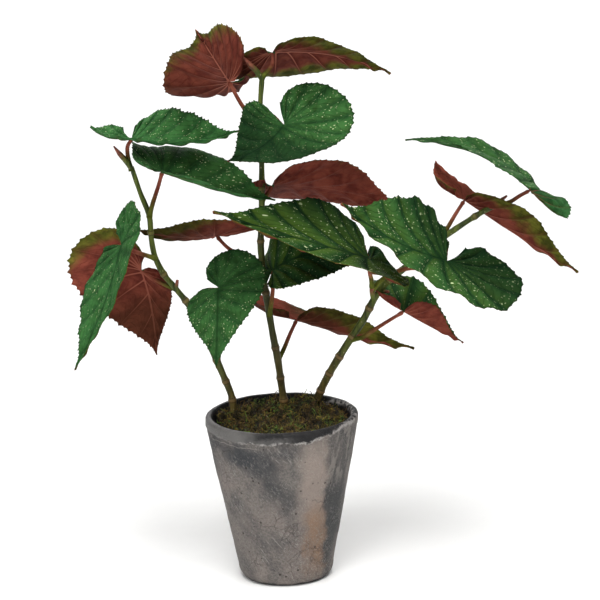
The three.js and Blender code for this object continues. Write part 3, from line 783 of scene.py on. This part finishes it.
# %% Cane material
cane_finish, tree, skin, places = new_material("jointed_cane")
along, ring, bud, shade = stored(tree, "along", "ring", "bud", "shade")
streaks = places.stretch((1, 1, 8))
young = patchy(streaks, 190, (0.018, 0.03, 0.005), (0.1, 0.13, 0.02))
old = patchy(streaks, 210, (0.034, 0.024, 0.007), (0.18, 0.135, 0.036))
age = along + places.noise(30) * 0.22
color = young.mix(age.ramp(0.56, 0.3), old)
color = color.mix(ring * age.ramp(0.95, 0.4, 0.25, 0.7), (0.28, 0.17, 0.07))
scar = ring.ramp(0.2, 0.45) * ring.ramp(0.75, 0.5) * 0.7
color = color.mix(scar, (0.03, 0.018, 0.006))
pores = dotted(places.stretch((1, 1, 1.8)), 420, 0.3, 0.45)
color = color.mix(pores * 0.55, (0.36, 0.3, 0.17))
bud_red = patchy(places, 250, (0.12, 0.03, 0.022), (0.26, 0.08, 0.05))
color = color.mix(bud.ramp(0.3, 0.85), bud_red)
# Painted shade: each cane darkens by its own shade amount along its lower and middle length, less at the
# foot and none near the tip.
painted_cane_shade = shade * age.ramp(0.85, 0.55, 0, 0.75) * age.ramp(0.22, 0.42, 0.15, 1)
color = color.mix(painted_cane_shade, (0.02, 0.017, 0.005))
rough = streaks.noise(300).ramp(0.3, 0.7, 0.42, 0.68)
feed(skin.inputs["Specular IOR Level"], 0.2)
dress(skin, color, rough, grainy(streaks, 700, 1) + pores * 0.6, 0.5, 0.35)


# %% Make the three canes
def cane_tube(cane):
    """The main stem with its rings, and the marks that its finish reads."""
    points, shares = even_points(cane["route"], 1.1)
    length = np.linalg.norm(np.diff(points, axis=0), axis=1).sum()
    nearest = np.min(np.abs(shares[:, None] - np.array(cane["rings"])), axis=1) * length
    swell = np.exp(-((nearest / RING_LENGTH) ** 2))
    step = np.exp(-(((nearest - 1.2) / 0.5) ** 2))
    radii = cane["foot"] + (cane["tip"] - cane["foot"]) * shares + RING_SWELL * swell - 0.25 * step
    radii += 0.12 * np.sin(shares * length / 9) + 0.1 * np.sin(shares * length / 3.7)
    tube = round_tube(points, radii, 6)
    marks = {"along": shares, "ring": swell, "bud": 0 * shares}
    mark(tube.data, **{name: at_nearest(tube.data, points, values) for name, values in marks.items()})
    return tube


def side_tube(route):
    """A bud, a scar or a short side shoot."""
    rows = np.array(route, float)
    points, shares = even_points(rows[:, :3], 1)
    radii = np.interp(shares, np.linspace(0, 1, len(rows)), rows[:, 3])
    tube = round_tube(points, radii, 4)
    mark(tube.data, along=0.85, ring=0, bud=at_nearest(tube.data, points, shares))
    return tube


for name, cane in CANES.items():
    tubes = [cane_tube(cane)] + [side_tube(route) for route in cane["sides"]]
    pick_up(*tubes)
    bpy.ops.object.join()
    mark(tubes[0].data, shade=cane["shade"])
    finish_piece(tubes[0], "fine_cane_" + name, cane_finish, ["cane_" + name])

# %% [markdown]
# ## The pot
# The pot was thrown, so it is drawn as a thrower would: a round foot pulled up ring by ring. A
# circle is extruded and widened for each step of the wall, over the rim and down inside. Fired
# and handled clay isn't a perfect cone, so a slow unevenness is pressed into the wall.

# %% The profile of the wall
POT_HEIGHT, FOOT_RADIUS, FOOT_CURVE_RADIUS, FOOT_CURVE_HEIGHT = 168, 40, 49, 14
RIM_RADIUS, MOUTH_RADIUS, RIM_BAND, RIM_ROUNDING, RIM_LIP = 76.5, 69, 8, 4, 0.8
POT_FLOOR, FLOOR_ROUNDING, POT_WALL = 12, 3, 8
INNER_FOOT = FOOT_CURVE_RADIUS - POT_WALL


def straight(start, end, steps):
    """Points that share the way from start to end, without start."""
    return [tuple(np.array(start) + (np.array(end) - start) * k / steps) for k in range(1, steps + 1)]


profile = [(20, 0)]
for angle in np.radians(range(0, 91, 10)):
    spread = (FOOT_CURVE_RADIUS - FOOT_RADIUS) * math.sin(angle)
    profile.append((FOOT_RADIUS + spread, FOOT_CURVE_HEIGHT * (1 - math.cos(angle))))
shoulder = (RIM_RADIUS - RIM_LIP, POT_HEIGHT - 2 * RIM_BAND)
profile += straight((FOOT_CURVE_RADIUS, FOOT_CURVE_HEIGHT), shoulder, 40)
profile += straight(shoulder, (RIM_RADIUS, POT_HEIGHT - RIM_BAND), 8)
for angle in np.radians(range(10, 171, 16)):
    spread = (RIM_RADIUS - MOUTH_RADIUS) / 2 * (1 + math.cos(angle))
    profile.append((MOUTH_RADIUS + spread, POT_HEIGHT - RIM_ROUNDING * (1 - math.sin(angle))))
mouth = (MOUTH_RADIUS, POT_HEIGHT - RIM_BAND)
profile += [mouth, *straight(mouth, (INNER_FOOT, POT_FLOOR + FLOOR_ROUNDING), 17)]
profile += [(INNER_FOOT - FLOOR_ROUNDING, POT_FLOOR), (18, POT_FLOOR)]
print("rings of the pot:", len(profile))

# %% Pull up the wall
POT_SIDES = 160
put_down()
bpy.ops.mesh.primitive_circle_add(vertices=POT_SIDES, radius=profile[0][0] * MM, fill_type="NGON")
pot = bpy.context.object
edit_all(pot, bpy.ops.mesh.flip_normals)
bpy.ops.object.mode_set(mode="EDIT")
for (was, low), (now, high) in zip(profile, profile[1:]):
    bpy.ops.mesh.extrude_region_move(TRANSFORM_OT_translate={"value": (0, 0, (high - low) * MM)})
    bpy.ops.transform.resize(value=(now / was, now / was, 1), center_override=(0, 0, high * MM))
bpy.ops.object.mode_set(mode="OBJECT")
print("pot faces:", len(pot.data.polygons))

# %% Press in the unevenness
points = coordinates(pot.data)
radius = np.hypot(points[:, 0], points[:, 1])
height = points[:, 2]
inner = np.interp(height, [POT_FLOOR + FLOOR_ROUNDING, POT_HEIGHT - RIM_BAND], [INNER_FOOT, MOUTH_RADIUS])
inside = (radius < inner + 1.5) & (height > POT_FLOOR - 1)
swing = sum(
    depth * np.array([noise.noise(Vector(row) * pace) for row in points])
    for pace, depth in [(0.022, 0.9), (0.09, 0.35), (0.35, 0.22)]
)
rim_wave = np.array([noise.noise(Vector((x, y, 0)) * 0.05 + Vector((9, 0, 0))) for x, y, _ in points])
lip = np.clip((height - (156 + 4 * rim_wave)) / 1.4, 0, 1) * ~inside
move = np.where(inside | (height < 0.5), 0, swing - 0.9 + 0.75 * lip)
rise = np.where(height > POT_HEIGHT - 3, 0.7 * rim_wave - 0.4, 0)
points[:, :2] *= (1 + move / np.maximum(radius, 1))[:, None]
points[:, 2] += rise
move_points(pot.data, points)
mark(pot.data, inside=inside)
print("wall moved by", round(float(move.min()), 2), "to", round(float(move.max()), 2), "mm")

# %% [markdown]
# ## Old clay
# The clay is a warm grey with smoke-dark smudges, a rusty streak where water ran, pits, pale
# scratches and a dark, flaking rim. A painted highlight runs down the front, and painted shade
# darkens the right side beyond a sharp line and the left edge. The large marks have their own
# places on this pot, so each is a soft spot at a place; the small ones are scattered by the
# shared groups.

# %% Clay, smoke, and painted shade at the left edge
clay_finish, tree, skin, places = new_material("weathered_clay")
inside, = stored(tree, "inside")
x = places.part("X")
y, z = x.beside("Y"), x.beside("Z")
WANDER = 0.0225
wander = places.shaken(places.noise(28, 4, 0.5, output="Color"), 2 * WANDER)
SMOKE_AND_SHADE = (0.032, 0.034, 0.038)
DRIP = (0, -0.6, 0)
# dark spots of smoke; the tall one at the left edge, at (-76, -10, 110), is painted shade
SMUDGES_AND_EDGE_SHADE = [
    ((-36, -60, 146), (44, 60, 17), 0.95), ((-22, -62, 131), (25, 60, 23), 0.85),
    ((-10, -62, 112), (20, 60, 22), 0.85), ((0, -60, 95), (16, 60, 18), 0.7),
    ((-76, -10, 110), (24, 60, 90), 0.9), ((4, -50, 148), (24, 60, 13), 0.75),
    ((-40, 60, 96), (42, 40, 34), 0.6), ((30, 62, 60), (34, 40, 40), 0.6),
    ((-66, -30, 148), (15, 40, 20), 0.8), ((56, -40, 40), (16, 60, 46), 0.45),
]


def soft_spot(centre, size):
    """A soft spot at a place on the wall, with a wandering edge."""
    away = place(tree, "VectorMath", [wander, [c * MM + WANDER for c in centre]], operation="SUBTRACT")
    away = place(tree, "VectorMath", [away, [s * MM for s in size]], operation="DIVIDE")
    return place(tree, "VectorMath", [away], "Value", operation="LENGTH").ramp(1, 0.15)


clay = patchy(places, 24, (0.1, 0.09, 0.082), (0.19, 0.155, 0.138))
color = clay.mix(0.3, patchy(places, 480, (0.06, 0.06, 0.06), (0.3, 0.27, 0.245)))
smoke = places.stretch((1, 1, 2.2), DRIP).noise(34, 5, 0.6, 0.5)
color = color.mix(smoke.ramp(0.42, 0.72, 0, 0.62), SMOKE_AND_SHADE)
for centre, size, depth in SMUDGES_AND_EDGE_SHADE:
    color = color.mix(soft_spot(centre, size) * depth, SMOKE_AND_SHADE)
print("smudges:", len(SMUDGES_AND_EDGE_SHADE))

# %% The painted highlight down the front, the rusty streak in it and the painted shade beyond a sharp line
EDGE_LEAN = 0.055
front = y.ramp(-0.012, -0.03)
nudge = (places.noise(50, 5) - 0.5) * 0.02
across = x - z * EDGE_LEAN + nudge


def field(left, right, low, high, soft):
    """A soft upright field on the front of the wall, by its edges in millimetres."""
    left, right, low, high = (edge * MM for edge in (left, right, low, high))
    sides = across.ramp(left - soft, left + soft) * front * across.ramp(right + soft / 2, right - soft / 2)
    return sides * z.ramp(low - 3 * soft, low + 3 * soft) * z.ramp(high + 3 * soft, high - 3 * soft)


# painted highlight: a lighter stretch down the front of the wall
color = color.mix(field(11, 38, 78, 156, 0.009) * 0.6, (0.33, 0.265, 0.225))
rust = places.stretch((1, 1, 2.5)).noise(70, 4).ramp(0.25, 0.6, 0.3, 0.75) * field(17, 38, 16, 84, 0.006)
color = color.mix(rust, (0.25, 0.15, 0.09))
# painted shade on the right side beyond the sharp line, deeper towards the foot
painted_side_shade = field(37, 90, -20, 200, 0.003) * z.ramp(0.085, 0.135, 0.85, 0.35)
color = color.mix(painted_side_shade, (0.036, 0.038, 0.04))
strips = places.stretch((1, 1, 4), (0, 0.14, 0)).noise(150, 5, 0.65).ramp(0.5, 0.56)
strips = strips * field(33, 90, 108, 170, 0.004)
color = color.mix(strips * 0.7, (0.24, 0.215, 0.195))
print("nodes so far:", len(tree.nodes))

# %% Scratches that all run down to the right, pale grit, cracks and small pits
scratch = abs(places.stretch((1, 1, 16), DRIP).noise(190, 2) - 0.5).ramp(0.02, 0)
scratch = scratch * places.noise(30).ramp(0.47, 0.62)
color = color.mix(scratch * 0.6, (0.36, 0.34, 0.31))
grit = places.stretch((1, 1, 2), DRIP).noise(620, 5, 0.7).ramp(0.5, 0.64)
grit = grit * places.noise(44, 3).ramp(0.36, 0.6, 0.15, 0.9)
color = color.mix(grit * 0.45, (0.36, 0.34, 0.315))
crack = wander.cells(52, "DISTANCE_TO_EDGE").ramp(0.03, 0) * places.noise(26).ramp(0.45, 0.6)
color = color.mix(crack * 0.5, (0.035, 0.032, 0.03))
pits = dotted(places, 170, 0.24, 0.55)
color = color.mix(pits * 0.8, (0.025, 0.018, 0.016))
foot_line = (z + places.noise(90, 4) * 0.008).ramp(0.0085, 0.0055, 0, 0.85)
color = color.mix(foot_line, (0.016, 0.016, 0.017))
print("nodes so far:", len(tree.nodes))

# %% The dark rim with its flaking edge, which climbs to the lip on the right
climb = x.ramp(0.02, 0.066, 0, 0.0085) + 0.1635
rise = z + places.noise(60, 6, 0.75) * 0.013 - climb
rim = rise.ramp(-0.0004, 0.0004).math("MAXIMUM", inside)
flake = abs(rise).ramp(x.ramp(0.025, 0.06, 0.002, 0.0036), 0)
flake = flake * places.noise(180, 4).ramp(0.42, 0.58) * x.ramp(-0.05, -0.02, 0.25, 1)
glaze = patchy(places, 48, (0.004, 0.004, 0.005), (0.014, 0.013, 0.013))
ashen = (x + nudge * 2).ramp(-0.012, -0.045) * y.ramp(0.02, -0.01)
low_rim = rise.ramp(0.0075, 0.003) * x.ramp(0.022, -0.005) * 0.6
glaze = glaze.mix(ashen.math("MAXIMUM", low_rim) * inside.ramp(0.6, 0), (0.12, 0.115, 0.11))
color = color.mix(rim, glaze).mix(flake * 0.85, (0.4, 0.38, 0.36))
lip = abs(z - (nudge * 0.4 + 0.1515)).ramp(0.0006, 0) * x.ramp(-0.016, -0.03, 0, 0.5) * front
color = color.mix(lip, (0.34, 0.31, 0.28))
feed(skin.inputs["Specular IOR Level"], 0.25)
relief = grainy(places, 420, 1) + grainy(places, 110, 0.8) - pits * 1.2 - scratch * 0.4
relief = relief + grit * 0.5 + strips * 0.8 - crack + flake * 0.9
dress(skin, color, rim.ramp(0, 1, 0.7, 0.5), relief, 0.9, 0.9)
finish_piece(pot, "fine_pot", clay_finish, ["pot"])

# %% [markdown]
# ## Moss
# Dry moss is a mat of short curled threads in olive, brown and a little fresh green, heaped up
# around each cane. A low uneven bed carries thousands of copies of a few curled threads. Each
# thread has few faces, because there are so many.

# %% The bed under the threads
TUFTS = [(1.5, 0.21, 0.07, 0), (1.2, -0.09, 0.19, 0.6), (0.8, 0.43, 0.37, 1.1), (0.6, 0.39, -0.47, 0)]
MOSS_TOP, MOSS_MOUND, MOSS_EDGE, BACK_RISE = 154, 5, 66.2, 7
BED_SIDES, BED_RINGS, BED_STEP, BED_DEPTH = 96, 22, 2.8, 6
FEET = [(-49, 15), (4, 27), (32, 48)]


def moss_height(x, y):
    """The height of the mossy mound at a place, heaped up towards the back."""
    mound = MOSS_MOUND * (1 - (np.hypot(x, y) / MOUTH_RADIUS) ** 2)
    tufts = sum(high * np.sin(tx * x + ty * y + phase) for high, tx, ty, phase in TUFTS)
    return MOSS_TOP + mound + tufts + BACK_RISE * np.clip((y + 20) / 70, 0, 1)


put_down()
bpy.ops.mesh.primitive_circle_add(vertices=BED_SIDES, radius=MOSS_EDGE * MM, fill_type="NGON")
bed = bpy.context.object
bpy.ops.object.mode_set(mode="EDIT")
bpy.ops.mesh.select_all(action="SELECT")
for _ in range(BED_RINGS):
    bpy.ops.mesh.inset(thickness=BED_STEP * MM)
bpy.ops.object.mode_set(mode="OBJECT")
points = coordinates(bed.data)
bumps = [1.3 * noise.noise(Vector(row) * 0.16) + 0.8 * noise.noise(Vector(row) * 0.4) for row in points]
points[:, 2] = moss_height(points[:, 0], points[:, 1]) - 2 + np.array(bumps)
move_points(bed.data, points)
bpy.ops.object.mode_set(mode="EDIT")
bpy.ops.mesh.select_all(action="DESELECT")
bpy.ops.mesh.select_mode(type="EDGE")
bpy.ops.mesh.select_non_manifold(extend=False)
bpy.ops.mesh.extrude_region_move(TRANSFORM_OT_translate={"value": (0, 0, -BED_DEPTH * MM)})
bpy.ops.mesh.edge_face_add()
bpy.ops.mesh.select_mode(type="VERT")
bpy.ops.object.mode_set(mode="OBJECT")
mark(bed.data, tint=-0.5)
print("moss bed faces:", len(bed.data.polygons))

# %% Curled threads
THREAD_KINDS = [
    (0.6, 12, 0.85), (1.1, 10, 0.8), (1.6, 9, 0.72), (0.3, 14, 0.8), (0.9, 8, 1), (1.4, 11, 0.7),
]


def curl(turns, length, radius, seed):
    """One thread: a short uneven spiral that rises a little and thins to its tip."""
    t = np.linspace(0, 1, 8)
    angle = turns * 2 * np.pi * t + np.random.default_rng(seed).uniform(0, 6)
    width = length * 0.16 * (0.4 + t)
    points = np.stack([
        length * t * 0.8 + width * np.cos(angle), width * np.sin(angle) + length * 0.12 * np.sin(5 * t),
        length * (0.55 * t - 0.5 * t**2) + width * 0.6 * np.sin(angle + 1),
    ], axis=1)
    return round_tube(points, radius * (1.05 - 0.75 * t), 0)


plans = []
for seed, kind in enumerate(THREAD_KINDS):
    thread = curl(*kind, seed)
    plans.append((coordinates(thread.data), [tuple(face.vertices) for face in thread.data.polygons]))
    bpy.data.objects.remove(thread)
print("thread kinds:", len(plans), "faces in one:", len(plans[0][1]))

# %% Scatter the threads
THREADS = 2700
draw = np.random.default_rng(21)
rows, faces, tints = [], [], []
start = 0
for number in range(THREADS):
    angle, reach = draw.uniform(0, 2 * np.pi), (MOSS_EDGE - 3.5) * math.sqrt(draw.uniform(0, 1))
    spot = np.array([reach * math.cos(angle), reach * math.sin(angle)])
    climb = 0
    if number % 9 == 0:
        spot = np.array(FEET[number // 9 % 3]) + draw.normal(0, 6.5, 2)
        climb = draw.uniform(0, 6)
    x, y = spot * min(1, (MOSS_EDGE - 4) / max(math.hypot(*spot), 1))
    points, shape = plans[int(draw.integers(len(plans)))]
    turn = Matrix.Rotation(draw.uniform(0, 6.28), 3, "Z") @ Matrix.Rotation(draw.uniform(-1, 0.5), 3, "Y")
    turn = turn @ Matrix.Rotation(draw.uniform(0, 6.28), 3, "X")
    points = points * draw.uniform(0.55, 1.05) @ np.array(turn).T
    points = points + [x, y, moss_height(x, y) - 2.2 + climb + 4.5 * draw.uniform(0, 1) ** 1.5]
    wide = np.hypot(points[:, 0], points[:, 1])
    points[:, :2] *= np.minimum(1, (MOSS_EDGE + 0.5) / np.maximum(wide, 1))[:, None]
    rows.append(points)
    faces += [tuple(index + start for index in face) for face in shape]
    patch = noise.noise(Vector((x, y, 0)) * 0.06)
    tints.append(np.full(len(points), np.clip(0.5 + 0.9 * patch + draw.normal(0, 0.24), 0.02, 1)))
    start += len(points)
mat = bpy.data.meshes.new("threads")
mat.from_pydata((np.concatenate(rows) * MM).tolist(), [], faces)
carpet = bpy.data.objects.new("threads", mat)
bpy.context.collection.objects.link(carpet)
mark(mat, tint=np.concatenate(tints))
print("thread faces:", len(faces))

# %% Moss material
moss_finish, tree, skin, places = new_material("dry_moss")
tint, = stored(tree, "tint")
brown = patchy(places, 120, (0.03, 0.018, 0.006), (0.2, 0.115, 0.03))
olive = patchy(places, 140, (0.055, 0.043, 0.006), (0.29, 0.215, 0.034))
fresh = patchy(places, 150, (0.03, 0.055, 0.008), (0.14, 0.22, 0.035))
color = brown.mix(tint.ramp(0.2, 0.55), olive).mix(tint.ramp(0.66, 0.9), fresh)
# Painted shade: the bed under the threads and patches among them turn nearly black, as the shade deep in
# the mat.
gap = places.noise(150, 3).ramp(0.58, 0.42, 0, 0.85).math("MAXIMUM", tint.ramp(0, -0.3))
color = color.mix(gap, (0.014, 0.011, 0.004))
rough = places.noise(400).ramp(0.3, 0.7, 0.75, 0.95)
dress(skin, color, rough, grainy(places, 600, 1), 0.8, 0.8)
finish_piece(bed, "moss_bed", moss_finish, ["moss"])
finish_piece(carpet, "moss_threads", moss_finish, ["moss"])

# %% [markdown]
# ## Soil
# The soil fills the pot under the moss and is hidden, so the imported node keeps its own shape
# and only gets crumbs of its own colour.

# %% Soil material
soil_finish, tree, skin, places = new_material("potting_soil")
crumbs = patchy(places, 240, (0.008, 0.006, 0.004), (0.05, 0.034, 0.02))
rough = crumbs.beside("Share").ramp(0, 1, 0.98, 0.85)
dress(skin, crumbs, rough, grainy(places, 300, 1), 1, 1)
soil = bpy.data.objects["soil"]
if not soil.data.materials:
    soil.data.materials.append(soil_finish)
for material_slot in soil.material_slots:
    material_slot.material = soil_finish
print("soil faces:", len(soil.data.polygons))

# %% [markdown]
# ## Floor and light
# The plant was photographed on white in soft light from above and a little from the left. A
# large pale floor and four wide lamps give the same quiet shading.

# %% Floor
put_down()
bpy.ops.mesh.primitive_plane_add(size=40)
floor = bpy.context.object
floor.name = "studio_floor"
paper, tree, skin, places = new_material("studio_paper")
feed(skin.inputs["Base Color"], patchy(places, 3, (0.86, 0.86, 0.85), (0.9, 0.9, 0.89)))
feed(skin.inputs["Roughness"], 0.9)
floor.data.materials.append(paper)
print("floor placed")

# %% Light
LAMPS = [
    ("key", (0.2, -1.2, 2.6), 1.8, 86), ("front", (-1.4, -2.4, 1.3), 1.4, 24),
    ("ceiling", (0, 2, 6), 12, 230), ("far", (0, 4.4, 3), 4, 130),
]
for name, spot, size, power in LAMPS:
    bpy.ops.object.light_add(type="AREA", location=spot)
    lamp = bpy.context.object
    lamp.name = name
    lamp.data.size = size
    lamp.data.energy = power
    lamp.rotation_euler = (Vector((0, 0, 0.3)) - Vector(spot)).to_track_quat("-Z", "Y").to_euler()
world = bpy.data.worlds.new("studio")
bpy.context.scene.world = world
world.use_nodes = True
sky = world.node_tree.nodes["Background"]
feed(sky.inputs["Color"], (1, 1, 1))
feed(sky.inputs["Strength"], 0.24)
print("lamps:", len(LAMPS))

# %% [markdown]
# ## Size
# The dressed plant has to fill the same box as the imported model.

# %% Leave nothing selected
put_down()
